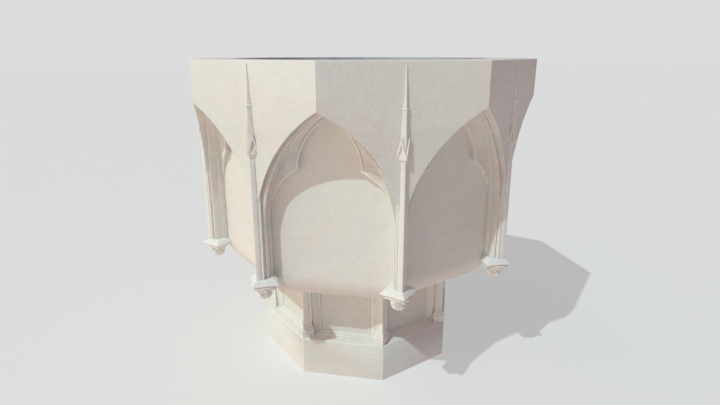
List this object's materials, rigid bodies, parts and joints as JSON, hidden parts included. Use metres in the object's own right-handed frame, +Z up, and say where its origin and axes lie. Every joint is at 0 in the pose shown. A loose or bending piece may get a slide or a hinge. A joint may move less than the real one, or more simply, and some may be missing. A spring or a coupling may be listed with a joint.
{
  "type": "baptismal font",
  "caption": "Free-standing octagonal stone font: cusped pointed arches, pinnacled shafts on carved corbels, a panelled stem, a moulded plinth and a lead-lined basin with a plug.",
  "frame": {"origin": "centre of the underside of the plinth, on the font's axis", "axes": "+Z up; +X, -X, +Y and -Y each run out through the middle of a flat face of the octagonal rim"},
  "size_m": [1.0434, 1.0434, 0.945],
  "materials": {
    "stone": "dressed cream limestone, unpolished, faintly mottled and pitted",
    "carved_stone": "paler carved limestone, unpolished",
    "lead": "dull grey dressed lead sheet",
    "brass": "aged, satin",
    "rubber": "matt black"
  },
  "bodies": {
    "font": {"plinth": "stone", "stem_core": "stone", "stem_shaft_1": "carved_stone", "stem_shaft_2": "carved_stone", "stem_shaft_3": "carved_stone", "stem_shaft_4": "carved_stone", "stem_shaft_5": "carved_stone", "stem_shaft_6": "carved_stone", "stem_shaft_7": "carved_stone", "stem_shaft_8": "carved_stone", "bowl": "stone", "face_stone_1": "stone", "face_stone_2": "stone", "face_stone_3": "stone", "face_stone_4": "stone", "face_stone_5": "stone", "face_stone_6": "stone", "face_stone_7": "stone", "face_stone_8": "stone", "pinnacle_1": "carved_stone", "pinnacle_2": "carved_stone", "pinnacle_3": "carved_stone", "pinnacle_4": "carved_stone", "pinnacle_5": "carved_stone", "pinnacle_6": "carved_stone", "pinnacle_7": "carved_stone", "pinnacle_8": "carved_stone", "corbel_1": "carved_stone", "corbel_2": "carved_stone", "corbel_3": "carved_stone", "corbel_4": "carved_stone", "corbel_5": "carved_stone", "corbel_6": "carved_stone", "corbel_7": "carved_stone", "corbel_8": "carved_stone", "lead_lining": "lead", "waste_fitting": "brass", "waste_pipe": "lead"},
    "plug": {"drain_plug": "rubber"},
    "ring": {"pull_ring": "brass"}
  },
  "joints": [
    {"name": "plug_lift", "type": "slide", "parent": "font", "child": "plug", "axis": [0, 0, 1], "range_m": [0, 0.06]},
    {"name": "ring_hinge", "type": "hinge", "parent": "plug", "child": "ring", "pos_m": [0, 0, 0.6139], "axis": [0, -1, 0], "range_deg": [0, 100]}
  ]
}
